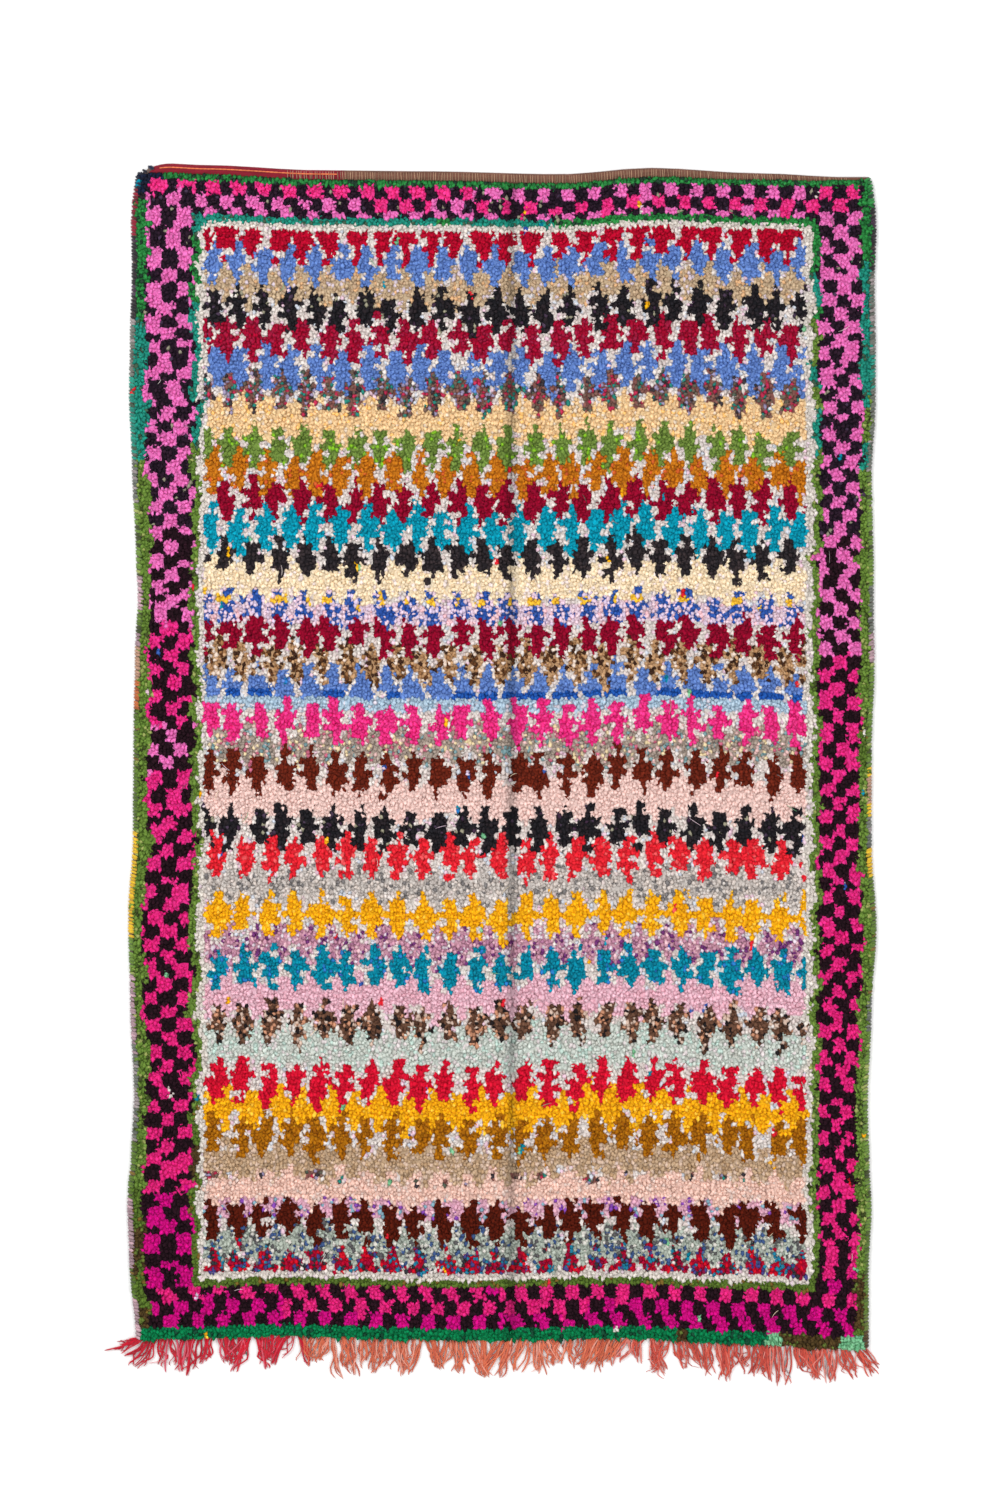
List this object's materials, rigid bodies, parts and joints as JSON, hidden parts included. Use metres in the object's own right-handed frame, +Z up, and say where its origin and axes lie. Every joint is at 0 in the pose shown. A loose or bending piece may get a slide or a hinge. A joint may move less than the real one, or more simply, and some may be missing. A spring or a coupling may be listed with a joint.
{
  "type": "boucherouite rug",
  "caption": "Flat hand-knotted rag rug with a chequered border, a banded lozenge field, overcast sides and a fringe along one end.",
  "frame": {"origin": "centre of the whole rug's outline, fringe included, on the floor under it", "axes": "+X across the width towards the right-hand side seen from above, +Y along the length away from the fringe, +Z up out of the pile"},
  "size_m": [1.5758, 2.4896, 0.0194],
  "materials": {
    "pile": "thick cut pile of knotted rag yarn and wool in many colours, matte",
    "band": "flat weft-faced weave with overcast stitches, matte",
    "selvedge": "overcast rag yarn wound round the edge warps, matte",
    "fringe": "loose wool warp ends in bunches, matte"
  },
  "bodies": {
    "root": {"rug": "pile", "end_band": "band", "selvedge_left": "selvedge", "selvedge_right": "selvedge", "fringe": "fringe"}
  },
  "joints": []
}
